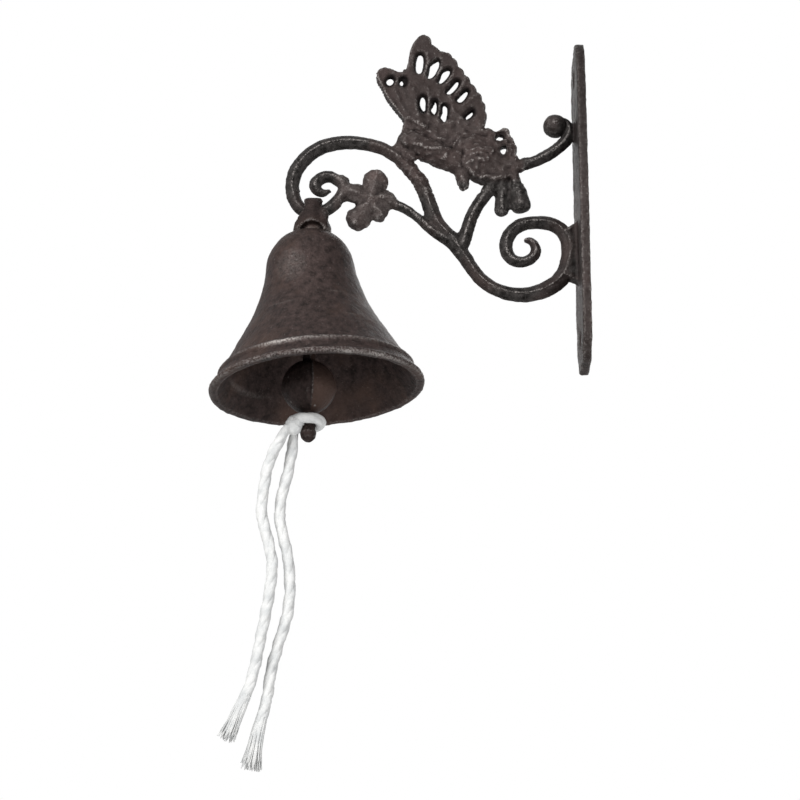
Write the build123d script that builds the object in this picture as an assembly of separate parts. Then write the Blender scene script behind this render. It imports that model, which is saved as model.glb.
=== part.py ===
from build123d import *
import os
from math import radians, sqrt, tan

# Hand-rung wall bell. Millimetres, +Z up, +X towards the wall, bracket in the plane Y = 0.
# The origin is the centre of the wall plate's back face.

# Wall plate
plate_height = 170.5
plate_width = 44.0
plate_end_length = 26.0
plate_end_flat = 15.0
plate_thickness = 4.5
plate_edge_round = 1.2
screw_hole_diameter = 5.2
screw_head_diameter = 10.4
screw_spacing = 140.0

# Scrolled bars
bar_depth = 7.2
bar_fullness = 0.61
web_depth = 7.0
web_top = -8.6
web_bottom = -40.4
knob_diameter = 10.6

# Butterfly and flower
wing_thickness = 5.2
slot_flare = 1.3
slot_overrun = 0.4
blossom_depth = 10.0
blossom_rim_round = 2.6
flower_depth = 8.6
flower_centre_diameter = 6.4
flower_centre_rise = 1.6
flower_reach = 101.6
flower_height = 3.6

# Bell
hang_reach = 129.5
hang_height = -3.2
bell_height = 76.5
mouth_diameter = 104.4
bell_wall = 3.8
bell_drop = 16.7
bell_offset = 2.6
bell_tilt = 3.63
lip_bead = 1.5
rim_bead = 1.2
rim_bead_above_lip = 9.0
rim_bead_height = 3.0

# Crown loop
loop_clearance = 0.35
loop_bend_radius = 6.2
loop_bore_half_length = 11.0
loop_play_below = 2.2
loop_strap = 3.6
loop_leg = 4.3
loop_top_width = 10.2
loop_base_width = 18.8
skirt_diameter = 19.4
skirt_height = 4.0
skirt_drop = 10.6
skirt_arch_diameter = 15.0
skirt_arch_height = 2.8
crown_neck_diameter = 13.0
crown_lean = 0.4

# Clapper link and clapper
wire_diameter = 3.0
ring_bend_radius = 4.5
ring_straight = 8.0
ring_split = 0.6
eye_thickness = 4.4
eye_hole_diameter = 4.6
eye_rim = 3.0
lug_below_axis_start = 23.9
shank_diameter = 6.4
ball_diameter = 26.4
ball_drop = 68.0
neck_diameter = 7.0
neck_length = 8.6
tail_diameter = 8.2
tail_length = 6.0

# Rope
rope_diameter = 5.5
rope_grip = 0.25
knot_diameter = 10.0


def arm(reach, height, depth=0.0):
    """A point of the bracket, by its distance from the plate's front face and its height."""
    return Vector(-plate_thickness - reach, depth, height)


def lens(width, depth, place):
    """Section of a cast bar: four arcs that meet in a ridge at the front, the back and both sides."""
    half_width = width / 2
    half_depth = depth / 2
    corners = [(-half_width, 0), (0, half_depth), (half_width, 0), (0, -half_depth)]
    arcs = []
    for start, end in zip(corners, corners[1:] + corners[:1]):
        middle = (bar_fullness * (start[0] + end[0]), bar_fullness * (start[1] + end[1]))
        arcs.append(ThreePointArc(start, middle, end))
    return place * make_face(Curve() + arcs)


def bar(stations, depth=bar_depth):
    """A bar lofted along a smooth curve through stations of (reach, height, width)."""
    line = Spline([arm(reach, height) for reach, height, width in stations])
    widest = max(width for reach, height, width in stations)
    sections = []
    for reach, height, width in stations:
        here = arm(reach, height)
        along = line.tangent_at(line.param_at_point(here))
        across = along.cross(Vector(0, 1, 0))
        place = Plane(origin=here, x_dir=across, z_dir=along)
        local_depth = depth * min(1.0, 0.35 + 0.65 * width / (0.8 * widest))
        sections.append(lens(width, local_depth, place))
    return loft(sections)


def flat_shape(edges, depth):
    """A plate of the given depth, half in front of and half behind the bracket's middle plane."""
    face = make_face(Curve() + edges)
    return extrude(face, depth / 2, dir=(0, 1, 0), both=True)


def outline(points):
    """A closed smooth outline through points of (reach, height)."""
    return [Spline([arm(reach, height) for reach, height in points], periodic=True)]


def slot(reach, height, length, width, lean, thickness=wing_thickness):
    """Cutter for a pierced slot: narrow at the casting's middle, wider at its two faces."""
    middle = Plane(origin=arm(reach, height), x_dir=(1, 0, 0), z_dir=(0, -1, 0))
    half_depth = thickness / 2 + slot_overrun
    cutter = Part()
    for side in (1, -1):
        waist = middle * Rot(0, 0, -lean) * Ellipse(width / 2, length / 2)
        mouth = middle * Rot(0, 0, -lean) * Ellipse(width / 2 + slot_flare, length / 2 + slot_flare)
        face = Pos(0, -side * half_depth, 0) * mouth
        cutter += loft([waist, face])
    return cutter


def make_plate():
    """The wall plate: ends rounded to a short flat, eased front edge, two countersunk screw holes."""
    half_width = plate_width / 2
    half_flat = plate_end_flat / 2
    end = plate_height / 2
    straight = end - plate_end_length
    corner = half_width - half_flat
    face = Plane.YZ * make_face(Curve() + [
        Line((half_width, -straight), (half_width, straight)),
        EllipticalCenterArc((half_flat, straight), corner, plate_end_length, 0, arc_size=90),
        Line((half_flat, end), (-half_flat, end)),
        EllipticalCenterArc((-half_flat, straight), corner, plate_end_length, 90, arc_size=90),
        Line((-half_width, straight), (-half_width, -straight)),
        EllipticalCenterArc((-half_flat, -straight), corner, plate_end_length, 180, arc_size=90),
        Line((-half_flat, -end), (half_flat, -end)),
        EllipticalCenterArc((half_flat, -straight), corner, plate_end_length, 270, arc_size=90),
    ])
    plate = extrude(face, -plate_thickness)
    front = plate.faces().sort_by(Axis.X)[0]
    plate = fillet(front.edges(), plate_edge_round)
    for height in (-screw_spacing / 2, screw_spacing / 2):
        seat = Plane(origin=(-plate_thickness, 0, height), z_dir=(-1, 0, 0))
        plate -= seat * CounterSinkHole(
            screw_hole_diameter / 2, screw_head_diameter / 2, plate_thickness * 2, 90)
    return plate


def make_scrolls():
    """The bars of the bracket, from the wall out to the spiral that carries the bell."""
    hook = [
        (58.6, -21.5, 7.0), (62.9, -15.4, 7.6), (68.1, -9.7, 7.8), (71.8, -1.7, 8.0), (74.9, 8.2, 7.8),
        (80.3, 18.4, 8.2), (88.3, 27.0, 7.4), (97.5, 32.6, 6.8), (107.0, 35.0, 7.2), (117.0, 35.2, 7.6),
        (127.1, 32.4, 7.8), (134.9, 26.2, 7.7), (139.6, 18.0, 7.5), (140.6, 9.7, 7.3), (138.9, 3.0, 7.1),
        (135.6, -1.3, 7.0), (hang_reach, hang_height, 7.0), (123.2, -1.1, 7.0), (117.7, 4.1, 7.0),
        (115.0, 10.0, 6.8), (119.1, 15.6, 6.4), (123.4, 16.8, 6.5), (127.2, 15.2, 6.6), (129.3, 11.6, 6.4),
        (127.4, 8.4, 5.4), (124.6, 7.8, 4.2), (121.9, 9.0, 2.2),
    ]
    scroll = [
        (62.4, -17.0, 7.0), (57.6, -23.6, 7.4), (53.0, -31.0, 7.2), (47.5, -38.6, 7.0), (39.9, -44.0, 7.2),
        (29.2, -46.7, 7.8), (17.4, -44.4, 8.4), (8.6, -37.9, 8.6), (4.6, -28.0, 8.2), (5.0, -17.4, 7.6),
        (10.0, -10.4, 7.4), (19.2, -8.1, 7.1), (28.2, -9.7, 7.1), (34.0, -15.4, 6.9), (35.2, -22.1, 6.7),
        (32.5, -27.7, 6.2), (27.6, -29.3, 5.9), (23.1, -27.5, 5.7), (20.7, -24.0, 5.6), (21.2, -20.2, 5.0),
        (23.8, -17.9, 3.8), (26.4, -18.2, 2.0),
    ]
    branch = [
        (58.6, -26.0, 5.4), (56.8, -20.4, 6.8), (55.0, -14.7, 7.1), (53.0, -7.9, 6.8), (49.9, -0.7, 6.6),
        (45.8, 5.9, 6.8), (40.5, 12.6, 7.0), (34.6, 18.2, 7.0), (28.6, 22.0, 6.6), (21.3, 24.6, 6.3),
        (14.6, 27.9, 6.5), (8.6, 32.1, 6.5), (4.2, 37.2, 6.4), (2.9, 42.0, 5.6), (4.4, 46.2, 4.6),
        (8.6, 47.0, 3.6),
    ]
    stem = [
        (58.6, -22.4, 4.6), (64.6, -17.6, 5.6), (70.8, -13.0, 5.4), (76.6, -7.6, 5.0), (82.9, -2.0, 4.8),
        (89.9, 1.7, 5.6), (98.0, 4.4, 6.0), (106.0, 6.6, 6.4), (113.6, 9.6, 6.0),
    ]
    solid = bar(hook) + bar(scroll) + bar(branch, bar_depth * 0.94) + bar(stem, bar_depth * 0.8)
    solid += Pos(arm(9.7, 44.4)) * Sphere(knob_diameter / 2)
    web = Polyline([
        arm(-1, web_top), arm(0, web_top), arm(6.5, web_top - 4.4), arm(3.4, (web_top + web_bottom) / 2),
        arm(8.4, web_bottom + 3.2), arm(0, web_bottom), arm(-1, web_bottom), arm(-1, web_top),
    ])
    return solid + flat_shape([web], web_depth)


def make_wings():
    """The two raised wings and the small hind wing, with their slots."""
    fore = outline([
        (84.0, 75.6), (82.9, 82.0), (81.6, 87.6), (79.8, 91.4), (77.2, 94.2), (74.6, 94.9), (72.6, 93.2),
        (70.6, 89.3), (66.4, 85.6), (61.6, 83.4), (58.0, 77.6), (54.0, 71.8), (50.2, 65.8), (47.4, 61.6),
        (45.3, 56.2), (44.1, 50.4), (45.2, 43.6), (54.0, 32.0), (70.0, 29.0), (84.2, 33.4), (86.4, 40.4),
        (84.6, 48.0), (82.0, 60.0),
    ])
    rear = outline([
        (84.6, 46.0), (89.1, 52.8), (93.2, 58.9), (96.7, 66.0), (98.9, 71.0), (98.9, 74.0), (96.4, 76.2),
        (91.0, 75.2), (86.0, 73.6), (82.0, 74.6), (77.0, 66.0), (78.0, 50.0),
    ])
    hind = outline([
        (46.4, 40.8), (42.6, 41.9), (39.2, 40.7), (35.9, 42.1), (33.0, 40.7), (32.1, 37.4), (29.4, 33.4),
        (29.4, 28.4), (28.2, 24.0), (36.0, 18.0), (48.0, 22.0), (52.0, 34.0),
    ])
    wings = flat_shape(fore, wing_thickness) + flat_shape(rear, wing_thickness * 0.9)
    wings += flat_shape(hind, wing_thickness * 0.94)
    slots = [
        (77.4, 78.8, 11.0, 3.2, 5), (70.3, 75.8, 10.9, 3.4, 25), (65.0, 71.7, 9.2, 2.8, 35),
        (60.5, 65.5, 9.0, 2.4, 35), (55.8, 60.5, 7.7, 2.4, 35), (52.5, 50.3, 5.0, 1.9, 40),
        (75.9, 55.9, 9.4, 2.4, 0), (70.1, 54.4, 7.5, 1.7, 5), (65.1, 51.0, 8.7, 2.2, 5),
        (92.3, 68.8, 3.8, 3.2, 30), (85.8, 68.2, 3.4, 2.7, 20),
    ]
    for reach, height, length, width, lean in slots:
        wings -= slot(reach, height, length, width, lean)
    return wings


def spindle(start, end, girths):
    """A body of revolution from start to end, with a radius at each even step between them."""
    along = end - start
    length = along.length
    steps = len(girths) - 1
    levels = [length * (i + 0.5) / (steps + 1) for i in range(steps + 1)]
    rim = [(0, 0)] + list(zip(girths, levels)) + [(0, length)]
    profile = make_face(Curve() + [Spline(rim), Line((0, length), (0, 0))])
    turned = revolve(Plane.XZ * profile, Axis.Z)
    return Plane(origin=start, x_dir=(0, 1, 0), z_dir=along) * turned


def make_ornament():
    """Butterfly body, the folded blossom it rests on, its two hanging clubs, and the bud."""
    body = spindle(arm(88.4, 38.6), arm(52.0, 20.5), [4.8, 6.0, 6.2, 6.2, 5.6, 4.4])
    ridge = spindle(arm(85.6, 77.0), arm(76.0, 38.0), [1.6, 2.4, 3.0, 3.8, 4.3])
    petals = outline([
        (61.0, 34.0), (55.0, 39.5), (47.0, 40.6), (39.0, 39.0), (33.0, 33.0), (30.6, 25.0), (31.0, 17.5),
        (38.0, 13.0), (47.0, 13.6), (54.0, 17.0), (59.4, 24.0),
    ])
    blossom = flat_shape(petals, blossom_depth)
    rims = [edge for edge in blossom.edges() if abs(abs(edge.center().Y) - blossom_depth / 2) < 0.01]
    blossom = fillet(rims, blossom_rim_round)
    ribs = [(41.0, 52.8, 33.4), (39.8, 54.4, 29.2), (40.0, 54.0, 25.0), (41.4, 52.0, 20.8)]
    for near_reach, far_reach, level in ribs:
        for side in (-1, 1):
            start = arm(near_reach, level, side * blossom_depth * 0.42)
            end = arm(far_reach, level - 1.6, side * blossom_depth * 0.36)
            blossom += spindle(start, end, [1.5, 2.1, 2.3, 2.1, 1.5])
    bud = spindle(arm(57.6, 27.0), arm(55.3, 8.6), [3.2, 3.6, 3.6, 3.2, 2.2])
    right_club = spindle(arm(31.6, 21.0), arm(27.0, -2.2), [2.6, 3.0, 3.6, 4.4, 5.0, 4.8])
    left_club = spindle(arm(36.8, 19.0), arm(37.2, -4.6), [2.6, 2.8, 3.0, 3.3, 3.5, 3.4])
    return body + ridge + blossom + bud + right_club + left_club


def make_flower():
    """The flower between stem and spiral: five broad ridged petals round a small raised centre."""
    centre = arm(flower_reach, flower_height)
    petals = [
        (98.2, 19.5, 12.4), (114.8, 9.6, 11.4), (110.4, -10.6, 12.8), (90.4, 3.8, 11.0), (95.8, -6.0, 9.6),
    ]
    outline_shares = [(0.0, 0.55), (0.25, 0.78), (0.5, 0.94), (0.75, 1.0), (0.9, 0.82), (1.0, 0.4)]
    flower = Part()
    for tip_reach, tip_height, width in petals:
        stations = []
        for share, fullness in outline_shares:
            reach = flower_reach + (tip_reach - flower_reach) * share
            height = flower_height + (tip_height - flower_height) * share
            stations.append((reach, height, width * fullness))
        flower += bar(stations, flower_depth)
    for rise in (-flower_centre_rise, flower_centre_rise):
        flower += Pos(centre + Vector(0, rise, 0)) * Sphere(flower_centre_diameter / 2)
    return flower


def make_wall_bracket():
    """The whole bracket casting, with the two holes of the hind wing cut through the blossom as well."""
    bracket = make_plate() + make_scrolls() + make_wings() + make_ornament() + make_flower()
    for reach, height, length, width, lean in [(37.6, 37.3, 4.0, 3.0, 20), (35.8, 29.8, 4.0, 2.8, 20)]:
        bracket -= slot(reach, height, length, width, lean, blossom_depth)
    return bracket


def wall_line(inset):
    """Half profile of the bell, at the given distance inside its outer surface."""
    shares = [
        (0.308, 0.0), (0.400, 0.111), (0.427, 0.222), (0.470, 0.333), (0.527, 0.444), (0.606, 0.556),
        (0.700, 0.667), (0.795, 0.778), (0.896, 0.889), (0.985, 0.985),
    ]
    outer = [(share * mouth_diameter / 2, -drop * bell_height) for share, drop in shares]
    if inset == 0:
        return outer
    inner = []
    for before, here, after in zip(outer, outer[1:], outer[2:] + outer[-1:]):
        run = after[0] - before[0]
        fall = before[1] - after[1]
        length = sqrt(run * run + fall * fall)
        inner.append((here[0] - inset * fall / length, here[1] - inset * run / length))
    inner[-1] = (inner[-1][0], -bell_height)
    return inner


def make_bell_wall():
    """The bell itself, turned about its own axis, with the shoulder at height zero and the mouth down."""
    outer = wall_line(0)
    inner = wall_line(bell_wall)
    neck_radius = crown_neck_diameter / 2
    dome_top = neck_radius * 0.75
    roof = -bell_wall * 0.55
    lip_inner = (inner[-1][0], -bell_height)
    lip_outer = (mouth_diameter / 2 - 0.4, -bell_height)
    profile = make_face(Curve() + [
        Line((0, roof), (0, dome_top)),
        Line((0, dome_top), (neck_radius, dome_top)),
        Spline([(neck_radius, dome_top), (outer[0][0] * 0.8, dome_top * 0.6)] + outer),
        Line(outer[-1], lip_outer),
        Line(lip_outer, lip_inner),
        Spline([*reversed(inner), (inner[0][0] * 0.62, roof - 0.9), (0, roof)]),
    ])
    wall = revolve(Plane.XZ * profile, Axis.Z)
    bead_level = -bell_height + rim_bead_above_lip
    bead_radius = outer[-2][0] - 0.2
    bead = Plane.XZ * (Pos(bead_radius, bead_level) * Ellipse(rim_bead, rim_bead_height / 2))
    lip = Plane.XZ * (Pos(mouth_diameter / 2 - lip_bead, -bell_height + lip_bead) * Circle(lip_bead))
    return wall + revolve(bead, Axis.Z) + revolve(lip, Axis.Z)


def make_crown():
    """Loop and skirt on top of the bell, drawn about the point where the loop's bar is centred."""
    half_depth = bar_depth / 2
    strap_top = half_depth + loop_clearance + loop_strap
    arch_radius = half_depth + loop_clearance + 0.9 + loop_leg
    arch_centre = strap_top - arch_radius
    foot = -skirt_drop
    half_top = loop_top_width / 2
    half_base = loop_base_width / 2
    lean = bell_offset * crown_lean
    edge = strap_top - 2.8
    side_view = Plane.XZ * make_face(Curve() + [
        ThreePointArc((-half_top - 0.4, edge), (-0.4, strap_top + 0.3), (half_top - 0.4, edge)),
        Polyline((half_top - 0.4, edge), (half_base - 1.0, -1.0), (half_base - lean, foot),
                 (-half_base - lean, foot), (-half_base + 0.6, 0), (-half_top - 0.4, edge)),
    ])
    end_view = Plane.YZ * (Pos(0, arch_centre) * Circle(arch_radius))
    end_view += Plane.YZ * (Pos(0, (arch_centre + foot) / 2) * Rectangle(arch_radius * 2, arch_centre - foot))
    arch = extrude(side_view, arch_radius * 2, both=True) & extrude(end_view, loop_base_width, both=True)
    standing = (Align.CENTER, Align.CENTER, Align.MIN)
    skirt_radius = skirt_diameter / 2
    skirt = Pos(-lean, 0, foot) * Cone(skirt_radius, skirt_radius - 1.4, skirt_height, align=standing)
    top_limit = loop_top_width * 0.6
    round_limit = Pos(-lean, 0, foot) * Cone(
        skirt_radius + 0.3, top_limit, strap_top - foot + 0.4, align=standing)
    hollow = Pos(-lean, 0, foot + skirt_arch_height - skirt_arch_diameter / 2) * Cylinder(
        skirt_arch_diameter / 2, skirt_diameter * 2, rotation=(90, 0, 0))
    loop = (arch & round_limit) + skirt - hollow
    return loop - loop_bore()


def loop_bore():
    """Cutter for the loop's hole: round about the bar and flared at both ends, where the bar curves up."""
    half_length = loop_bore_half_length
    throat = bar_depth / 2 + loop_clearance
    steps = [i * half_length / 4 for i in range(-4, 5)]
    flare = [(x, throat + x * x / (2 * loop_bend_radius)) for x in steps]
    half = make_face(Curve() + [
        Spline(flare),
        Line(flare[-1], (half_length, 0)),
        Line((half_length, 0), (-half_length, 0)),
        Line((-half_length, 0), flare[0]),
    ])
    block = half_length * 5
    above = Pos(0, 0, block / 2 - 1.5) * Box(block, block, block)
    round_part = revolve(Plane.XZ * half, Axis.X) & above
    below = Pos(0, 0, -loop_play_below) * Cylinder(throat + 0.8, half_length * 3, rotation=(0, 90, 0))
    below += Cylinder(throat, half_length * 3, rotation=(0, 90, 0))
    return round_part + below


def eye(hole_centre, rim_width):
    """An ear in the plane of the bracket with a hole along Y for the wire ring."""
    radius = eye_hole_diameter / 2 + rim_width
    ear = Pos(hole_centre) * Cylinder(radius, eye_thickness, rotation=(90, 0, 0))
    return ear


# Heights of the clapper's linkage, below the top of the ring
seat = Vector(-plate_thickness - hang_reach, 0, hang_height)
tilt = radians(bell_tilt)
shoulder = Vector(seat.X - bell_offset, 0, seat.Z - bell_drop)
ring_top = Vector(shoulder.X + 0.9, 0, seat.Z - lug_below_axis_start + 0.5)
upper_bend = ring_top - Vector(0, 0, ring_bend_radius)
lower_bend = upper_bend - Vector(0, 0, ring_straight)
hole_offset = ring_bend_radius - (wire_diameter / 2 + 1.12) + eye_hole_diameter / 2 - 0.06
lug_hole = upper_bend + Vector(0, 0, hole_offset)
clapper_hole = lower_bend - Vector(0, 0, hole_offset)
ball_centre = ring_top - Vector(0, 0, ball_drop)
neck_top = ball_centre - Vector(0, 0, ball_diameter / 2)
rope_height = neck_top.Z - neck_length * 0.5


def make_bell():
    """The bell casting: wall, crown and the inner lug for the clapper's ring."""
    crown = Pos(seat) * make_crown()
    place = Pos(shoulder) * Rot(0, -bell_tilt, 0)
    wall = place * make_bell_wall()
    neck_top_height = seat.Z - skirt_drop + skirt_arch_height + 0.6
    hanging = (Align.CENTER, Align.CENTER, Align.MAX)
    neck = Pos(seat.X - bell_offset * crown_lean, 0, neck_top_height) * Cylinder(
        crown_neck_diameter / 2, neck_top_height - shoulder.Z + 0.5, align=hanging)
    lug_radius = eye_hole_diameter / 2 + eye_rim
    roof_height = shoulder.Z - 1.0
    stalk_height = roof_height - lug_hole.Z
    lug = eye(lug_hole, eye_rim)
    lug += Pos(lug_hole.X, 0, lug_hole.Z) * Box(
        lug_radius * 2, eye_thickness, stalk_height, align=(Align.CENTER, Align.CENTER, Align.MIN))
    hole = Pos(lug_hole) * Cylinder(eye_hole_diameter / 2, eye_thickness * 2, rotation=(90, 0, 0))
    return wall + crown + neck + lug - hole


def make_clapper_ring():
    """A wire bent into an oval that links the bell's lug and the clapper's eye, with its ends butted."""
    r = ring_bend_radius
    top = upper_bend
    low = lower_bend
    path = Curve() + [
        Line((top.X, r, low.Z), (top.X, r, top.Z)),
        ThreePointArc((top.X, r, top.Z), (top.X, 0, top.Z + r), (top.X, -r, top.Z)),
        Line((top.X, -r, top.Z), (top.X, -r, low.Z)),
        ThreePointArc((top.X, -r, low.Z), (top.X, 0, low.Z - r), (top.X, r, low.Z)),
    ]
    section = Plane(origin=(top.X, r, low.Z), z_dir=(0, 0, 1)) * Circle(wire_diameter / 2)
    ring = sweep(section, path=path)
    gap = Pos(top.X, -r, (top.Z + low.Z) / 2) * Box(wire_diameter * 1.5, wire_diameter * 1.5, ring_split)
    return ring - gap


def make_clapper():
    """Eye, shank, faceted ball, and the neck and tail that the rope is tied to, all one casting."""
    ball_radius = ball_diameter / 2
    ball_profile = [
        (shank_diameter / 2, ball_radius * 0.97), (ball_radius * 0.62, ball_radius * 0.78),
        (ball_radius * 0.94, ball_radius * 0.32), (ball_radius, -ball_radius * 0.1),
        (ball_radius * 0.84, -ball_radius * 0.52), (neck_diameter / 2, -ball_radius),
    ]
    shank_top = clapper_hole.Z - ball_centre.Z
    neck_foot = -ball_radius - neck_length
    tail_foot = neck_foot - tail_length
    half = make_face(Curve() + [
        Line((0, shank_top), (shank_diameter / 2 - 0.7, shank_top)),
        Line((shank_diameter / 2 - 0.7, shank_top), ball_profile[0]),
        Spline(ball_profile),
        Line(ball_profile[-1], (neck_diameter / 2, neck_foot)),
        Line((neck_diameter / 2, neck_foot), (tail_diameter / 2, neck_foot - 1.6)),
        Line((tail_diameter / 2, neck_foot - 1.6), (tail_diameter / 2 - 0.6, tail_foot + 1.8)),
        Line((tail_diameter / 2 - 0.6, tail_foot + 1.8), (1.6, tail_foot)),
        Line((1.6, tail_foot), (0, tail_foot)),
        Line((0, tail_foot), (0, shank_top)),
    ])
    body = Pos(ball_centre) * revolve(Plane.XZ * half, Axis.Z)
    fin = Pos(ball_centre) * extrude(Plane.YZ * Circle(ball_radius * 1.015), 0.7, both=True)
    body += fin
    ear = eye(clapper_hole, eye_rim)
    hole = Pos(clapper_hole) * Cylinder(eye_hole_diameter / 2, eye_thickness * 2, rotation=(90, 0, 0))
    return body + ear - hole


def make_rope_loop():
    """The turn of rope round the clapper's neck and the knot that its two tails leave."""
    turn_radius = neck_diameter / 2 + rope_diameter / 2 - rope_grip
    centre = Vector(ball_centre.X, 0, rope_height)
    turn = Pos(centre) * Torus(turn_radius, rope_diameter / 2)
    knot_place = centre + Vector(-turn_radius - 1.2, -1.4, -rope_diameter * 0.45)
    knot = Pos(knot_place) * scale(Sphere(knot_diameter / 2), (0.72, 0.8, 0.9))
    return turn + knot


def rope_tube(points):
    """A soft rope as a plain tube: straight runs joined by arcs as large as the runs allow."""
    radii = []
    for before, here, after in zip(points, points[1:], points[2:]):
        into = here - before
        out = after - here
        turn = into.get_angle(out)
        shorter = min(into.length, out.length)
        radii.append(0.45 * shorter / tan(radians(turn) / 2))
    print("cord radii", [round(radius, 1) for radius in radii])
    path = FilletPolyline(*points, radius=radii)
    section = Plane(origin=points[0], z_dir=points[1] - points[0]) * Circle(rope_diameter / 2)
    tube = sweep(section, path=path)
    print("cord length", round(path.length, 1), "volume", round(tube.volume, 1),
          "section times length", round(section.area * path.length, 1))
    return tube


left_tail = [
    Vector(-145.4, -3.2, -116.0), Vector(-150.2, -3.8, -124.8), Vector(-154.6, -3.6, -135.0),
    Vector(-156.4, -3.4, -147.5), Vector(-157.6, -3.0, -159.5), Vector(-154.2, -3.2, -171.5),
    Vector(-151.2, -3.6, -183.5), Vector(-152.4, -3.8, -197.0), Vector(-154.8, -3.6, -211.3),
    Vector(-157.6, -3.2, -226.5), Vector(-160.6, -3.0, -242.0), Vector(-166.8, -3.4, -256.0),
    Vector(-171.6, -3.6, -268.4),
]
right_tail = [
    Vector(-142.6, 2.4, -117.2), Vector(-143.6, 3.4, -127.2), Vector(-145.6, 3.8, -139.2),
    Vector(-149.0, 3.6, -150.7), Vector(-148.6, 3.2, -163.5), Vector(-145.0, 3.0, -176.5),
    Vector(-143.2, 3.2, -191.0), Vector(-144.0, 3.6, -206.0), Vector(-148.2, 3.8, -220.0),
    Vector(-152.0, 3.6, -234.0), Vector(-153.2, 3.4, -247.5), Vector(-157.4, 3.6, -262.0),
    Vector(-160.6, 3.8, -280.7),
]


def save(name, solid):
    """Write one node and print what it holds."""
    solid.label = name
    export_step(solid, "parts/" + name + ".step")
    print(name, "solids", len(solid.solids()), "volume", round(solid.volume, 1))


os.makedirs("parts", exist_ok=True)
save("wall_bracket", make_wall_bracket())
save("bell", make_bell())
save("clapper_ring", make_clapper_ring())
save("clapper", make_clapper())
save("rope_loop", make_rope_loop())
save("rope_tail_left", rope_tube(left_tail))
save("rope_tail_right", rope_tube(right_tail))
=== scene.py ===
"""Hand-rung cast-iron bell on a butterfly bracket, rung by a soft cotton rope."""

import math

import bmesh
import bpy
import numpy as np
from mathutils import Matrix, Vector


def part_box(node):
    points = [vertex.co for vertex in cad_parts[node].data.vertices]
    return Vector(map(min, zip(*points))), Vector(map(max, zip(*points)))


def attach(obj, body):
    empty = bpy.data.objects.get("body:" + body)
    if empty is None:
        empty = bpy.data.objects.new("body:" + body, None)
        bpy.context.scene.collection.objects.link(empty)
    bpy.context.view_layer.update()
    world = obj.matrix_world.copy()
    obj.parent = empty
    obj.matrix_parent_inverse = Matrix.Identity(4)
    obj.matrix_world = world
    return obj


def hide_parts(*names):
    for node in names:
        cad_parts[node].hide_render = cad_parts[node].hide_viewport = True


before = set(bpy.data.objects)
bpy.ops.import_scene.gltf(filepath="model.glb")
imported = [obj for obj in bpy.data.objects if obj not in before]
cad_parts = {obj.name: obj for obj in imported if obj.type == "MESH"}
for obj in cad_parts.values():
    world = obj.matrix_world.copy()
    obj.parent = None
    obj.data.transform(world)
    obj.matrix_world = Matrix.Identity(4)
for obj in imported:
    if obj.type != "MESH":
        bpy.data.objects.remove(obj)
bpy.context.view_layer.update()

# Materials


def node_tree(name):
    material = bpy.data.materials.new(name)
    material.use_nodes = True
    nodes = material.node_tree.nodes
    return material, nodes, material.node_tree.links, nodes["Principled BSDF"]


def noise_node(nodes, links, place, scale, detail, roughness=0.6):
    tex = nodes.new("ShaderNodeTexNoise")
    tex.inputs["Scale"].default_value = scale
    tex.inputs["Detail"].default_value = detail
    tex.inputs["Roughness"].default_value = roughness
    links.new(place, tex.inputs["Vector"])
    return tex.outputs["Fac"]


def ramp_node(nodes, links, factor, stops):
    ramp = nodes.new("ShaderNodeValToRGB")
    ramp.color_ramp.elements[0].position = stops[0][0]
    ramp.color_ramp.elements[0].color = stops[0][1]
    ramp.color_ramp.elements[1].position = stops[-1][0]
    ramp.color_ramp.elements[1].color = stops[-1][1]
    for position, colour in stops[1:-1]:
        ramp.color_ramp.elements.new(position).color = colour
    links.new(factor, ramp.inputs["Fac"])
    return ramp.outputs["Color"]


def share_node(nodes, links, value, low, high, top=1.0):
    """0 where the value is at low, rising evenly to top at high."""
    node = nodes.new("ShaderNodeMapRange")
    node.inputs["From Min"].default_value = low
    node.inputs["From Max"].default_value = high
    node.inputs["To Max"].default_value = top
    links.new(value, node.inputs["Value"])
    return node.outputs["Result"]


def product_node(nodes, links, first, second):
    node = nodes.new("ShaderNodeMath")
    node.operation = "MULTIPLY"
    links.new(first, node.inputs[0])
    links.new(second, node.inputs[1])
    return node.outputs["Value"]


def blend_node(nodes, links, factor, first, colour):
    node = nodes.new("ShaderNodeMix")
    node.data_type = "RGBA"
    links.new(factor, node.inputs["Factor"])
    links.new(first, node.inputs["A"])
    node.inputs["B"].default_value = colour
    return node.outputs["Result"]


def painted(nodes, name):
    """A value that the mesh itself carries at each vertex: 0 where it has none."""
    attribute = nodes.new("ShaderNodeAttribute")
    attribute.attribute_name = name
    return attribute.outputs["Fac"]


def bumped(nodes, links, shader, height, strength, distance):
    """Lets the height roughen the shader's surface."""
    bump = nodes.new("ShaderNodeBump")
    bump.inputs["Strength"].default_value = strength
    bump.inputs["Distance"].default_value = distance
    links.new(height, bump.inputs["Height"])
    links.new(bump.outputs["Normal"], shader.inputs["Normal"])


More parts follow.
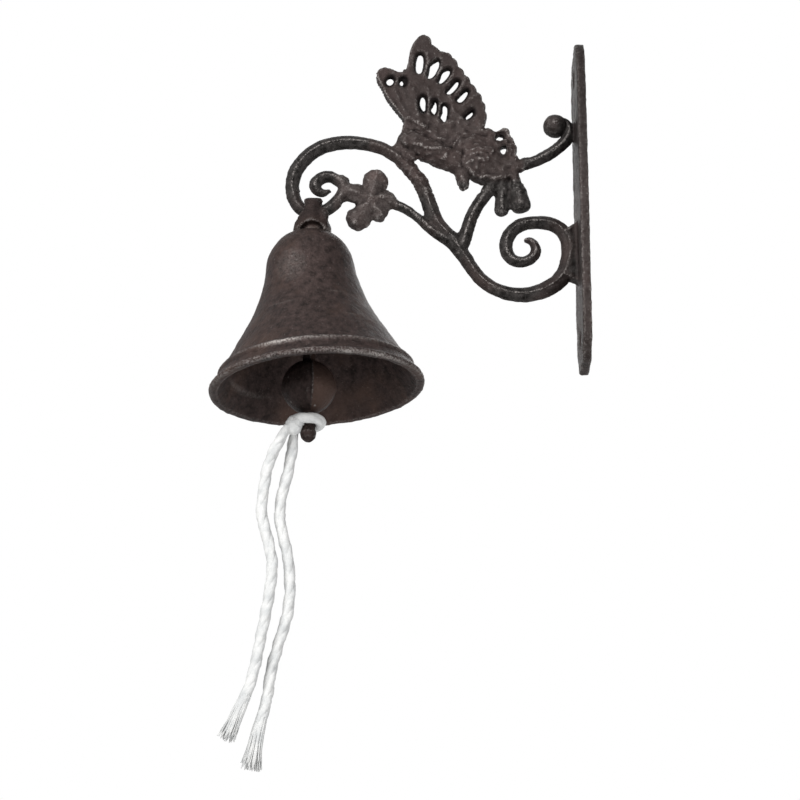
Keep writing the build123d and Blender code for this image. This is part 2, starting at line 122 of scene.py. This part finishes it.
def iron(name, dark, mid, rust_and_lit_facet, gloss):
    """Aged cast iron: near-black brown, patches of rust brown, pale edges that are partly wear and partly
    painted highlight, painted shade black in the hollows.
    """
    material, nodes, links, shader = node_tree(name)
    place = nodes.new("ShaderNodeTexCoord").outputs["Object"]
    point = nodes.new("ShaderNodeNewGeometry").outputs["Pointiness"]
    broad = noise_node(nodes, links, place, 34.0, 4.0)
    fine = noise_node(nodes, links, place, 300.0, 6.0, 0.72)
    specks = noise_node(nodes, links, place, 1150.0, 3.0, 0.6)
    base = ramp_node(nodes, links, fine, [(0.34, dark), (0.66, mid)])
    colour = blend_node(nodes, links, share_node(nodes, links, broad, 0.50, 0.70, 0.75), base, rust_and_lit_facet)
    # The rust colour where the mesh carries it: a rust tint on the bracket, and a painted lit facet on the
    # clapper.
    colour = blend_node(nodes, links, painted(nodes, "rust_and_lit_facet"), colour, rust_and_lit_facet)
    # Pale convex edges and ridge lines: partly wear, partly painted highlight along the ridges.
    edge = share_node(nodes, links, point, 0.512, 0.560)
    speck = share_node(nodes, links, specks, 0.44, 0.60)
    edge_wear_and_highlight = product_node(nodes, links, edge, speck)
    colour = blend_node(nodes, links, edge_wear_and_highlight, colour, WORN_AND_HIGHLIGHT)
    fleck = share_node(nodes, links, specks, 0.66, 0.74, 0.55)
    colour = blend_node(nodes, links, fleck, colour, WORN_AND_HIGHLIGHT)
    # Paler in patches where the mesh says so: bare rubbed metal, and painted highlights where the light
    # catches edges.
    patchy = share_node(nodes, links, specks, 0.34, 0.56)
    rubbed_bare_and_highlight = product_node(nodes, links, painted(nodes, "rubbed_bare_and_highlight"), patchy)
    colour = blend_node(nodes, links, rubbed_bare_and_highlight, colour, BARE_AND_HIGHLIGHT)
    # Painted shade: black in the hollows, where the surface is concave.
    hollow_shade = share_node(nodes, links, point, 0.488, 0.440, 0.85)
    colour = blend_node(nodes, links, hollow_shade, colour, BLACK)
    # Darker where the mesh says so: painted shade in recesses and on unlit sides, and some parts made darker
    # overall.
    colour = blend_node(nodes, links, painted(nodes, "darkening_and_painted_shade"), colour, BLACK)
    links.new(colour, shader.inputs["Base Color"])
    rough = ramp_node(nodes, links, fine, [(0.3, (0.40, 0.40, 0.40, 1)), (0.7, (0.62, 0.62, 0.62, 1))])
    links.new(rough, shader.inputs["Roughness"])
    shader.inputs["Metallic"].default_value = 0.4
    shader.inputs["Specular Tint"].default_value = (0.3, 0.3, 0.3, 1)
    shader.inputs["Specular IOR Level"].default_value = gloss
    bumped(nodes, links, shader, noise_node(nodes, links, place, 780.0, 5.0, 0.7), 0.75, 0.0005)
    return material


WORN_AND_HIGHLIGHT = (0.24, 0.22, 0.21, 1)
BARE_AND_HIGHLIGHT = (0.40, 0.37, 0.35, 1)
BLACK = (0.004, 0.003, 0.003, 1)
bracket_iron = iron("bracket_iron", (0.005, 0.0045, 0.004, 1), (0.053, 0.048, 0.046, 1),
                    (0.055, 0.039, 0.036, 1), 0.18)
bell_iron = iron("bell_iron", (0.015, 0.011, 0.010, 1), (0.058, 0.041, 0.038, 1),
                 (0.070, 0.044, 0.035, 1), 0.18)

wire, nodes, links, shader = node_tree("ring_wire")
shader.inputs["Base Color"].default_value = (0.12, 0.11, 0.10, 1)
shader.inputs["Metallic"].default_value = 0.8
shader.inputs["Roughness"].default_value = 0.5

cotton, nodes, links, shader = node_tree("cotton_rope")
shader.inputs["Roughness"].default_value = 0.95
place = nodes.new("ShaderNodeTexCoord").outputs["Object"]
soft = noise_node(nodes, links, place, 160.0, 4.0, 0.65)
links.new(ramp_node(nodes, links, soft, [(0.36, (0.56, 0.57, 0.57, 1)), (0.62, (0.71, 0.71, 0.70, 1))]),
          shader.inputs["Base Color"])
bumped(nodes, links, shader, noise_node(nodes, links, place, 900.0, 3.0), 0.8, 0.0004)


# Iron pieces: each CAD solid is remeshed finely, softened as a casting is, and given its relief

MM = 0.001


def dress(obj, material):
    obj.data.materials.clear()
    obj.data.materials.append(material)
    obj.data.polygons.foreach_set("use_smooth", [True] * len(obj.data.polygons))


def grain(points, size, seed):
    """Smooth random height between -1 and 1 at each point, with bumps of about the given size."""
    scaled = points / size
    cell = np.floor(scaled).astype(np.int64)
    part = scaled - cell
    part = part * part * (3 - 2 * part)
    total = np.zeros(len(points))
    for corner in range(8):
        bits = np.array([corner & 1, corner >> 1 & 1, corner >> 2 & 1])
        at = cell + bits
        mixed = at[:, 0] * 73856093 ^ at[:, 1] * 19349663 ^ at[:, 2] * 83492791 ^ seed * 2654435761
        mixed = (mixed & 0xFFFFFFF) * 1103515245 + 12345
        value = (mixed >> 9 & 0xFFFF) / 32768 - 1
        total += value * np.prod(np.where(bits == 1, part, 1 - part), axis=1)
    return total


def near_line(points, line):
    """Distance of each point from a line of (x, z) points, seen along Y."""
    best = np.full(len(points), 1e9)
    flat = points[:, [0, 2]]
    for start, end in zip(line, line[1:]):
        start, run = np.array(start), np.subtract(end, start)
        share = np.clip((flat - start) @ run / (run @ run), 0, 1)
        best = np.minimum(best, np.linalg.norm(flat - start - share[:, None] * run, axis=1))
    return best


def ridges(points, facing, lines, width, height):
    """Raised (or, with a negative height, sunk) lines on the faces that look along Y."""
    best = np.min([near_line(points, line) for line in lines], axis=0)
    return height * np.exp(-(best / width) ** 2) * facing


def mesh_object(name, vertices, faces, material):
    mesh = bpy.data.meshes.new(name)
    mesh.from_pydata([tuple(v) for v in vertices], [], faces)
    obj = bpy.data.objects.new(name, mesh)
    bpy.context.scene.collection.objects.link(obj)
    dress(obj, material)
    return obj


def evenly(line, step):
    """The same line with points at an even distance, and its length."""
    travelled = np.r_[0, np.cumsum(np.linalg.norm(np.diff(line, axis=0), axis=1))]
    even = np.linspace(0, travelled[-1], int(travelled[-1] / step) + 2)
    return np.column_stack([np.interp(even, travelled, line[:, i]) for i in range(3)]), travelled[-1]


def frames(line):
    """Two directions across the line at each of its points, turning as little as possible."""
    along = np.gradient(line, axis=0)
    along /= np.linalg.norm(along, axis=1)[:, None]
    across = np.zeros_like(along)
    side = np.cross(along[0], (0.1, 1.0, 0.0))
    for i, direction in enumerate(along):
        side = side - direction * np.dot(side, direction)
        side /= np.linalg.norm(side)
        across[i] = side
    return across, np.cross(along, across)


def tube(line, radii, sides, lumps=None):
    """Vertices and faces of a tube with a radius at each point of its line."""
    a, b = frames(line)
    turns = np.arange(sides) * 2 * math.pi / sides
    out = np.cos(turns)[None, :, None] * a[:, None, :] + np.sin(turns)[None, :, None] * b[:, None, :]
    vertices = (line[:, None, :] + radii[:, None, None] * out).reshape(-1, 3)
    if lumps is not None:
        vertices = vertices + out.reshape(-1, 3) * lumps(vertices)[:, None]
    faces = []
    for i in range(len(line) - 1):
        for k in range(sides):
            n = (k + 1) % sides
            faces.append((i * sides + k, i * sides + n, (i + 1) * sides + n, (i + 1) * sides + k))
    faces.append(tuple(range(sides - 1, -1, -1)))
    faces.append(tuple((len(line) - 1) * sides + k for k in range(sides)))
    return vertices, faces


def joined(parts):
    vertices, faces, base = [], [], 0
    for v, f in parts:
        vertices.append(v)
        faces += [tuple(base + i for i in face) for face in f]
        base += len(v)
    return np.concatenate(vertices), faces


def ball(centre, radii):
    """An ellipsoid, in millimetres."""
    slope = np.linspace(-1, 1, 17)
    line = np.column_stack([0 * slope, 0 * slope, slope])
    vertices, faces = tube(line, np.sqrt(1.0001 - slope * slope), 20)
    return (vertices * radii + centre) * MM, faces


def casting(node, body, material, voxel, soften, shape, added):
    """The dressed casting that stands for a CAD node: shape gives each vertex its place and its marks."""
    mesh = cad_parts[node].data.copy()
    build = bmesh.new()
    build.from_mesh(mesh)
    for vertices, faces in added:
        corners = [build.verts.new(v) for v in vertices]
        for face in faces:
            build.faces.new([corners[i] for i in face])
    build.to_mesh(mesh)
    build.free()
    obj = bpy.data.objects.new(node + "_cast", mesh)
    bpy.context.scene.collection.objects.link(obj)
    remesh = obj.modifiers.new("remesh", "REMESH")
    remesh.mode = "VOXEL"
    remesh.voxel_size = voxel * MM
    smooth = obj.modifiers.new("smooth", "SMOOTH")
    smooth.factor = 0.5
    smooth.iterations = soften
    graph = bpy.context.evaluated_depsgraph_get()
    solid = bpy.data.meshes.new_from_object(obj.evaluated_get(graph))
    obj.modifiers.clear()
    obj.data = solid
    count = len(solid.vertices)
    places = np.empty(count * 3)
    solid.vertices.foreach_get("co", places)
    normals = np.empty(count * 3)
    solid.vertices.foreach_get("normal", normals)
    places = places.reshape(-1, 3) / MM
    normals = normals.reshape(-1, 3)
    places, marks = shape(places, normals)
    solid.vertices.foreach_set("co", (places * MM).ravel())
    for name, values in marks.items():
        solid.attributes.new(name, "FLOAT", "POINT").data.foreach_set("value", np.clip(values, 0, 1))
    solid.update()
    dress(obj, material)
    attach(obj, body)
    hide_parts(node)
    print(node, "triangles", sum(len(face.vertices) - 2 for face in solid.polygons))


def cast_skin(points, strength=1.0):
    """The rough skin that every sand casting has."""
    skin = 0.16 * grain(points, 5.0, 1) + 0.12 * grain(points, 2.2, 2) + 0.09 * grain(points, 1.1, 3)
    return strength * skin


# Measures of the castings, in millimetres, and lines on them as (x, z) points seen from the front. Each slot
# of the wings has its middle, half its length and its lean in degrees.
WING_SLOTS = [(-81.9, 78.8, 5.5, 5), (-74.8, 75.8, 5.5, 25), (-69.5, 71.7, 4.6, 35), (-65.0, 65.5, 4.5, 35),
              (-60.3, 60.5, 3.9, 35), (-57.0, 50.3, 2.5, 40), (-80.4, 55.9, 4.7, 0), (-74.6, 54.4, 3.8, 5),
              (-69.6, 51.0, 4.4, 5), (-96.8, 68.8, 1.9, 30), (-90.3, 68.2, 1.7, 20), (-42.1, 37.3, 2.0, 20),
              (-40.3, 29.8, 2.0, 20)]
WING_VEINS = [[(-78.8, 70.7), (-77.9, 84.0)], [(-72.5, 67.9), (-71.2, 80.5)], [(-67.5, 66.5), (-64.3, 75.8)],
              [(-62.5, 60.4), (-58.7, 69.8)], [(-60.1, 54.9), (-54.0, 60.5)],
              [(-77.8, 64.2), (-77.2, 49.0)], [(-72.4, 63.2), (-72.3, 47.4)],
              [(-67.5, 61.4), (-65.1, 52.1), (-60.1, 45.6)], [(-84.9, 64.2), (-82.9, 49.2)],
              [(-94.7, 63.2), (-90.1, 53.9), (-86.8, 48.4)], [(-93.6, 69.0), (-91.0, 64.0), (-86.8, 55.7)]]
WING_RIM = [[(-103.4, 72.6), (-101.5, 66.0), (-98.2, 59.0), (-94.0, 52.6), (-90.2, 46.9)]]
BODY_AXIS = [(-92.9, 38.6), (-56.5, 20.5)]
BODY_RADIUS = 6.2
BODY_FOLDS = [[(-88.0, 47.9), (-84.3, 45.6), (-79.3, 41.9), (-73.5, 36.9), (-69.4, 35.5)],
              [(-91.4, 34.6), (-86.8, 32.6), (-81.8, 32.0), (-78.1, 30.0), (-73.5, 29.6), (-67.7, 30.0)]]
ABDOMEN = (-53.6, 26.4)
ABDOMEN_RADIUS = 9.5
KNOB = (-14.2, 0.0, 44.4)
KNOB_RADIUS = 6.0
SCALLOP = 5.6
ABDOMEN_RIBS = [[(-55.3, 30.6), (-51.1, 31.7), (-47.2, 30.9), (-45.3, 29.1), (-45.9, 26.7)],
                [(-56.1, 28.2), (-51.7, 29.7), (-47.8, 28.8), (-46.5, 26.4)],
                [(-56.7, 25.5), (-53.4, 27.0), (-50.0, 26.4), (-48.4, 24.2)],
                [(-57.3, 22.7), (-54.5, 24.2), (-51.2, 23.6), (-49.8, 21.2)],
                [(-56.8, 18.2), (-54.0, 15.7), (-50.7, 14.5), (-48.0, 15.1)]]
WING_FOOT = [[(-66.0, 32.6), (-64.4, 35.2), (-61.0, 38.0), (-56.0, 39.2), (-52.1, 38.6), (-48.3, 38.0)],
             [(-60.4, 30.9), (-61.4, 25.5), (-61.6, 19.4)]]


def inside(points, low_x, high_x, low_z, high_z, soft=2.0):
    """1 within a box seen along Y, falling softly to 0 outside it."""
    x, z = points[:, 0], points[:, 2]
    gap = np.maximum(np.maximum(low_x - x, x - high_x), np.maximum(low_z - z, z - high_z))
    return np.clip(1 - gap / soft, 0, 1)


def smooth_step(values, low, high):
    share = np.clip((values - low) / (high - low), 0, 1)
    return share * share * (3 - 2 * share)


def pressed(points, level, share):
    """The points with what stands higher than level, in front or behind, brought down towards it."""
    depth = np.abs(points[:, 1])
    points[:, 1] = np.sign(points[:, 1]) * (depth - share * np.maximum(depth - level, 0))


SEAT = (-134.0, 0.0, -3.2)
SEAT_REACH = 14.0


def bracket_shape(points, normals):
    """Ribs, folds, veins, sunk slots and rough skin."""
    off = np.hypot(points[:, 0] - ABDOMEN[0], points[:, 2] - ABDOMEN[1]) / ABDOMEN_RADIUS
    mound = 2.9 + 2.6 * np.exp(-1.6 * off * off) + 0.5 * grain(points * (1, 0, 1), 6.0, 43)
    body = near_line(points, BODY_AXIS)
    level = np.maximum(mound, np.sqrt(np.clip(BODY_RADIUS ** 2 - body * body, 0, None)))
    pressed(points, level, 0.92 * inside(points, -68, -28, 17.5, 46, 3.0))
    from_knob = points - KNOB
    distance = np.linalg.norm(from_knob, axis=1)
    grown = np.where(distance < KNOB_RADIUS + 0.8, np.maximum(KNOB_RADIUS / distance, 1), 1)
    points = KNOB + from_knob * grown[:, None]
    facing = np.clip((np.abs(normals[:, 1]) - 0.35) / 0.4, 0, 1)
    height = cast_skin(points)
    still = points
    abdomen = inside(points, -64, -41, 14, 38, 4.0)
    stray = (0.8 + 1.1 * abdomen) * np.stack([grain(still, 4.5, 41), 0 * height, grain(still, 4.5, 42)])
    # From here points only say where the relief is looked up, so that its lines wander.
    points = points + stray.T
    sunk = np.zeros(len(points))
    for x, z, half, lean in WING_SLOTS:
        along = Vector((math.sin(math.radians(lean)), math.cos(math.radians(lean)))) * half * 0.6
        pit = near_line(still, [(x - along.x, z - along.y), (x + along.x, z + along.y)])
        sunk = np.maximum(sunk, np.clip(1 - (pit - 1.2) / 2.4, 0, 1) * (pit < 4.2))
    height -= 0.8 * sunk ** 1.5 * facing
    wings = inside(points, -106, -46, 48, 100)
    height += wings * ridges(points, facing, WING_VEINS, 1.0, 0.45)
    edge = inside(points, -78, -44, 44, 100) * (normals[:, 0] > 0.2)
    edge = np.maximum(edge, inside(points, -44, -28, 24, 44, 1.0)) * (np.abs(normals[:, 1]) < 0.75)
    run = still @ (0.39, 0, -0.92)
    height += edge * (1.0 * np.abs(np.sin(run * math.pi / SCALLOP)) - 0.6)
    bars = 1 - np.maximum(inside(points, -106, -28, 8, 110), inside(points, -123, -94, -12, 22))
    bars = bars * np.clip((-6.5 - points[:, 0]) / 1.5, 0, 1)
    height += bars * 0.5 * np.clip((np.abs(normals[:, 1]) - 0.90) / 0.1, 0, 1) ** 2
    height += ridges(points, facing, WING_RIM, 1.0, 0.9)
    height += ridges(points, facing, BODY_FOLDS, 1.0, 0.9)
    height += ridges(points, facing, ABDOMEN_RIBS, 0.9, 0.7)
    height += ridges(points, facing, WING_FOOT, 1.0, -1.0)
    fur = inside(points, -94, -30, 8, 46) * (1 - 0.3 * abdomen)
    height += fur * (0.6 * grain(points, 2.9, 7) + 0.35 * grain(points, 1.3, 8))
    flower = inside(points, -123, -94, -12, 22)
    height += flower * (0.6 * grain(points, 4.4, 9) + 0.4 * grain(points, 2.2, 10))
    seat = np.linalg.norm(still - SEAT, axis=1) < SEAT_REACH
    height[seat] = -0.12
    butterfly = inside(points, -106, -32, 14, 100)
    plate = np.clip((points[:, 0] + 6.5) / 1.5, 0, 1)
    # Marks: rust tint on the butterfly, the flower and the plate; painted shade in the slot pits and over
    # the plate, darker towards its top; the wings somewhat darker overall; the flower slightly paler.
    marks = {"rust_and_lit_facet": 0.5 * butterfly + 0.5 * flower + 0.35 * plate,
             "darkening_and_painted_shade": 0.75 * sunk + 0.22 * wings + 0.35 * plate * smooth_step(points[:, 2], -10.0, 45.0),
             "rubbed_bare_and_highlight": 0.06 * flower}
    return still + normals * height[:, None], marks


BELL_TOP = (-0.1366, -0.0199)
BELL_LEAN = math.radians(3.63)
SCRATCHES = [(41.0, -22.0, -6.0), (36.0, 6.0, 18.0), (50.0, 12.0, 26.0)]
BEAD_DROP = 67.3
LIP_DROP = 75.0
LIP_RADIUS = 50.2
BORE_RADIUS = 6.4
SEAM_TURN = 0.18
BALL_FOOT = 14.6


def bell_shape(points, normals):
    """Rough skin; the bead and the lip rubbed bare, with painted highlights on their front and on the
    crown's front edge where the light catches them; the crown darker.
    """
    run = points[:, 0] - BELL_TOP[0] / MM
    fall = BELL_TOP[1] / MM - points[:, 2]
    drop = fall * math.cos(BELL_LEAN) + run * math.sin(BELL_LEAN)
    across = run * math.cos(BELL_LEAN) - fall * math.sin(BELL_LEAN)
    radius = np.hypot(across, points[:, 1])
    patches = np.clip(0.6 + 0.8 * grain(points, 9.0, 31), 0.15, 1)
    front = points[:, 1] < 0
    outside = normals[:, 2] > -0.5
    # Painted highlights: the bead's and the lip's front, to the left and the right, made paler where the
    # light catches them.
    bead_highlight_side = front * smooth_step(across, -30, -16) * (1 - smooth_step(across, 2, 14))
    lip_highlight_side = front * smooth_step(across, 4, 14) * (1 - smooth_step(across, 34, 46))
    bead = np.exp(-((drop - BEAD_DROP) / 1.1) ** 2) * outside * (0.25 + 0.75 * bead_highlight_side)
    lip = smooth_step(drop, LIP_DROP, LIP_DROP + 1.2) * (radius > LIP_RADIUS) * (0.15 + 0.85 * lip_highlight_side)
    scratches = sum(np.exp(-((drop - level) / 0.45) ** 2) * smooth_step(across, low, low + 6)
                    * (1 - smooth_step(across, high - 6, high)) for level, low, high in SCRATCHES)
    # The crown, and its front edge, which gets a painted highlight.
    crown = 1 - smooth_step(drop, -3.0, 1.0)
    edge = crown * smooth_step(drop, -8.0, -5.0) * (normals[:, 2] < 0.3) * front
    height = cast_skin(points, 0.75)
    bore = np.hypot(points[:, 1], points[:, 2] - SEAT[2]) < BORE_RADIUS
    height[bore] = -0.2
    patch = front * np.clip(1 - np.hypot(across + 9.0, (drop - 19.0) * 0.8) / 8.0, 0, 1)
    height += 0.22 * np.sqrt(patch) * grain(points, 1.4, 33)
    # Paler: the bead and lip rubbed bare all round with painted highlights on their front, faint scratches,
    # the crown's front edge as a painted highlight, and a lighter, rougher patch on the upper left of the
    # front.
    rubbed_bare_and_highlight = np.maximum.reduce([0.75 * patches * bead, 0.8 * patches * lip, 0.10 * front * scratches,
                                0.30 * edge, 0.10 * np.sqrt(patch)])
    # The crown made darker, all but its highlighted front edge.
    marks = {"rubbed_bare_and_highlight": rubbed_bare_and_highlight, "darkening_and_painted_shade": 0.45 * crown * (1 - edge)}
    return points + normals * height[:, None], marks


def clapper_shape(points, normals):
    """Rough skin, the seam where the two halves of the mould met, and painted light: the front facet right
    of the seam lighter as if lit, the rest darker as painted shade.
    """
    low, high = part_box("clapper")
    middle = (low.x + high.x) / 2 / MM
    ball_foot = low.z / MM + BALL_FOOT
    off = points[:, 0] - middle + SEAM_TURN * points[:, 1]
    side_on = np.clip((np.abs(normals[:, 1]) - 0.3) / 0.4, 0, 1)
    side_on = side_on * smooth_step(points[:, 2], ball_foot, ball_foot + 2)
    seam = 0.55 * np.exp(-(off / 0.7) ** 2) * side_on
    # Painted light: the ball's front facet right of the seam lighter and warmer as lit; the rest of the
    # clapper darker as painted shade.
    lit_facet = smooth_step(off, 0.0, 0.6) * (points[:, 1] < 0) * (points[:, 2] > ball_foot)
    height = cast_skin(points, 0.8) + seam
    return points + normals * height[:, None], {"rust_and_lit_facet": 0.7 * lit_facet, "darkening_and_painted_shade": 0.25 * (1 - lit_facet)}


web = tube(np.array([(-95.0, 0, 33.4), (-91.0, 0, 30.6), (-87.0, 0, 27.6), (-84.6, 0, 25.8)]) * MM,
           np.array([2.4, 3.0, 3.2, 2.2]) * MM, 16)
shoulders = [ball((SEAT[0] + 4.6, side * 6.2, SEAT[2] - 4.2), (2.8, 2.0, 5.2)) for side in (-1, 1)]
casting("wall_bracket", "bracket", bracket_iron, 0.70, 2, bracket_shape, [web])
casting("bell", "bell", bell_iron, 0.78, 2, bell_shape, shoulders)
casting("clapper", "clapper", bell_iron, 0.45, 3, clapper_shape, [])
dress(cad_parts["clapper_ring"], wire)

# Rope: one length of soft twisted cotton, in a turn round the clapper's neck and two frayed tails

LEFT = [(-145.4, -3.2, -116.0), (-150.2, -3.8, -124.8), (-154.6, -3.6, -135.0), (-156.4, -3.4, -147.5),
        (-157.6, -3.0, -159.5), (-154.2, -3.2, -171.5), (-151.2, -3.6, -183.5), (-152.4, -3.8, -197.0),
        (-154.8, -3.6, -211.3), (-157.6, -3.2, -226.5), (-160.6, -3.0, -242.0), (-166.8, -3.4, -256.0),
        (-171.6, -3.6, -268.4)]
RIGHT = [(-142.6, 2.4, -117.2), (-143.6, 3.4, -127.2), (-145.6, 3.8, -139.2), (-149.0, 3.6, -150.7),
         (-148.6, 3.2, -163.5), (-145.0, 3.0, -176.5), (-143.2, 3.2, -191.0), (-144.0, 3.6, -206.0),
         (-148.2, 3.8, -220.0), (-152.0, 3.6, -234.0), (-153.2, 3.4, -247.5), (-157.4, 3.6, -262.0),
         (-160.6, 3.8, -280.7)]
TWIST_LENGTH = 0.030
STRAND_OFFSET = 0.00066
STRAND_RADIUS = 0.00208
TUCKED = 0.008
OPEN_END = 0.004
FIBRES = 170
FRAY_ROOT = 0.0023
TURN_RADIUS = 0.0060
STEP = 0.0005


def follow(points):
    """Points, in metres, along the smooth line that the control points make, and its length."""
    curve = bpy.data.curves.new("path", "CURVE")
    curve.dimensions = "3D"
    spline = curve.splines.new("NURBS")
    spline.points.add(len(points) - 1)
    for control, point in zip(spline.points, points):
        control.co = (point[0] * MM, point[1] * MM, point[2] * MM, 1)
    spline.order_u = 3
    spline.use_endpoint_u = True
    spline.resolution_u = 12
    holder = bpy.data.objects.new("path", curve)
    bpy.context.scene.collection.objects.link(holder)
    mesh = bpy.data.meshes.new_from_object(holder)
    line = np.array([v.co for v in mesh.vertices])
    bpy.data.objects.remove(holder)
    bpy.data.meshes.remove(mesh)
    return evenly(line, STEP)


def fluff_height(vertices):
    return 0.00024 * grain(vertices / MM, 2.4, 21) + 0.00012 * grain(vertices / MM, 1.0, 22)


def strands(line, length, sides=18, tucked=0.0):
    """Three soft strands wound round the line, drawn together over the tucked length at its start."""
    a, b = frames(line)
    travelled = np.linspace(0, length, len(line))
    offset = STRAND_OFFSET * (smooth_step(travelled, 0, tucked) if tucked else np.ones(len(line)))
    parts = []
    for k in range(3):
        angle = k * 2 * math.pi / 3 + np.linspace(0, length / TWIST_LENGTH * 2 * math.pi, len(line))
        centre = line + (offset * np.cos(angle))[:, None] * a + (offset * np.sin(angle))[:, None] * b
        parts.append(tube(centre, np.full(len(line), STRAND_RADIUS), sides, fluff_height))
    return joined(parts)


def frayed(name, line, spread, reach, seed):
    """The loose fibres that a cut end opens into."""
    random = np.random.default_rng(seed)
    steps = int(reach / STEP)
    end = line[-steps:]
    a, b = frames(end)
    parts = []
    for _ in range(FIBRES):
        turn = random.uniform(0, 2 * math.pi)
        share = math.sqrt(random.uniform(0.02, 1))
        length = random.uniform(0.80, 1.0)
        t = np.linspace(0, 1, 20)
        index = np.clip((t * length * (steps - 1)).astype(int), 0, steps - 1)
        out = share * (FRAY_ROOT + (spread - FRAY_ROOT) * (t * length) ** 1.6)
        wave = 0.0002 * np.sin(t * random.uniform(4, 9) + turn)
        centre = end[index] + (out * np.cos(turn) + wave)[:, None] * a[index]
        centre = centre + (out * np.sin(turn))[:, None] * b[index]
        parts.append(tube(centre, np.linspace(0.00042, 0.00022, 20), 5))
    obj = mesh_object(name, *joined(parts), cotton)
    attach(obj, "clapper")
    return obj


def tail(side, points, spread, reach, seed):
    """One hanging end of the rope: wound strands that open into loose fibres."""
    line, length = follow(points)
    wound = strands(line[:-int(OPEN_END / STEP)], length - OPEN_END, tucked=TUCKED)
    obj = mesh_object("rope_" + side, *wound, cotton)
    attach(obj, "clapper")
    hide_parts("rope_tail_" + side)
    end = frayed("fray_" + side, line, spread, reach, seed)


def knot_lump(centre):
    """The soft lump of the knot, drawn down towards the tails."""
    slope = np.linspace(-1, 1, 41)
    line = np.array(centre) + slope[:, None] * np.array([-0.0008, -0.0006, -0.0050])
    return tube(line, 0.0041 * np.sqrt(1.001 - slope * slope), 28, lambda v: 2.2 * fluff_height(v))


def turn_and_knot():
    """The turn of rope round the neck, with the lump where the tails leave it."""
    low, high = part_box("rope_loop")
    neck = Vector(((low.x + high.x) / 2 + 0.0008, 0, high.z - 0.00275))
    sweep_angle = np.radians(np.linspace(200, 200 + 400, 220))
    drop = np.linspace(0.0, -0.0016, len(sweep_angle))
    across, depth = TURN_RADIUS * np.cos(sweep_angle), TURN_RADIUS * np.sin(sweep_angle)
    line, length = evenly(np.column_stack([neck.x + across, depth, neck.z + drop]), STEP)
    lump = Vector(neck) + Vector((-0.0066, -0.0014, -0.0024))
    band = joined([strands(line, length), knot_lump(lump)])
    obj = mesh_object("rope_turn", *band, cotton)
    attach(obj, "clapper")
    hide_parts("rope_loop")


tail("left", LEFT, 0.0044, 0.024, 5)
tail("right", RIGHT, 0.0053, 0.026, 6)
turn_and_knot()

# Stage, light and camera

FLOOR_LEVEL = -1.5
FLOOR_HALF = 3
corners = [(x * FLOOR_HALF, y * FLOOR_HALF, FLOOR_LEVEL) for x, y in ((-1, -1), (1, -1), (1, 1), (-1, 1))]
floor = mesh_object("floor", corners, [(0, 1, 2, 3)], bpy.data.materials.new("floor"))
floor.data.materials[0].use_nodes = True
surface = floor.data.materials[0].node_tree.nodes["Principled BSDF"].inputs
surface["Base Color"].default_value = (0.9, 0.9, 0.9, 1)
surface["Emission Color"].default_value = (1, 1, 1, 1)
surface["Emission Strength"].default_value = 0.25

world = bpy.data.worlds.new("world")
bpy.context.scene.world = world
world.use_nodes = True
nodes, links = world.node_tree.nodes, world.node_tree.links
nodes.clear()
output = nodes.new("ShaderNodeOutputWorld")
mixer = nodes.new("ShaderNodeMixShader")
ambient = nodes.new("ShaderNodeBackground")
ambient.inputs["Color"].default_value = (1, 1, 1, 1)
ambient.inputs["Strength"].default_value = 0.27
white = nodes.new("ShaderNodeBackground")
white.inputs["Color"].default_value = (1, 1, 1, 1)
white.inputs["Strength"].default_value = 1.0
rays = nodes.new("ShaderNodeLightPath").outputs
seen = rays["Is Camera Ray"]
for kind in ("Is Glossy Ray", "Is Transmission Ray"):
    either = nodes.new("ShaderNodeMath")
    either.operation = "MAXIMUM"
    links.new(seen, either.inputs[0])
    links.new(rays[kind], either.inputs[1])
    seen = either.outputs["Value"]
links.new(seen, mixer.inputs["Fac"])
links.new(ambient.outputs[0], mixer.inputs[1])
links.new(white.outputs[0], mixer.inputs[2])
links.new(mixer.outputs[0], output.inputs["Surface"])


def lamp(name, location, size, power):
    light = bpy.data.lights.new(name, "AREA")
    light.size = size
    light.energy = power
    obj = bpy.data.objects.new(name, light)
    obj.location = location
    aim = Vector((-0.09, 0, -0.09)) - obj.location
    obj.rotation_euler = aim.to_track_quat("-Z", "Y").to_euler()
    bpy.context.scene.collection.objects.link(obj)


lamp("key", (-0.8, -1.2, 0.5), 0.6, 25)
lamp("fill", (0.8, -1.2, -0.6), 0.8, 9)
lamp("back", (0.3, 1.5, 0.9), 1.4, 18)

CAMERA_TILT = math.radians(20)
CAMERA_DISTANCE = 1.25
camera_data = bpy.data.cameras.new("camera")
camera_data.lens = 117.0
camera = bpy.data.objects.new("camera", camera_data)
bpy.context.scene.collection.objects.link(camera)
target = Vector((-0.0918, 0.0, -0.1012))
camera.location = target - Vector((0, math.cos(CAMERA_TILT), math.sin(CAMERA_TILT))) * CAMERA_DISTANCE
camera.rotation_euler = (target - camera.location).to_track_quat("-Z", "Y").to_euler()
bpy.context.scene.camera = camera

bpy.context.scene.view_settings.view_transform = "Standard"
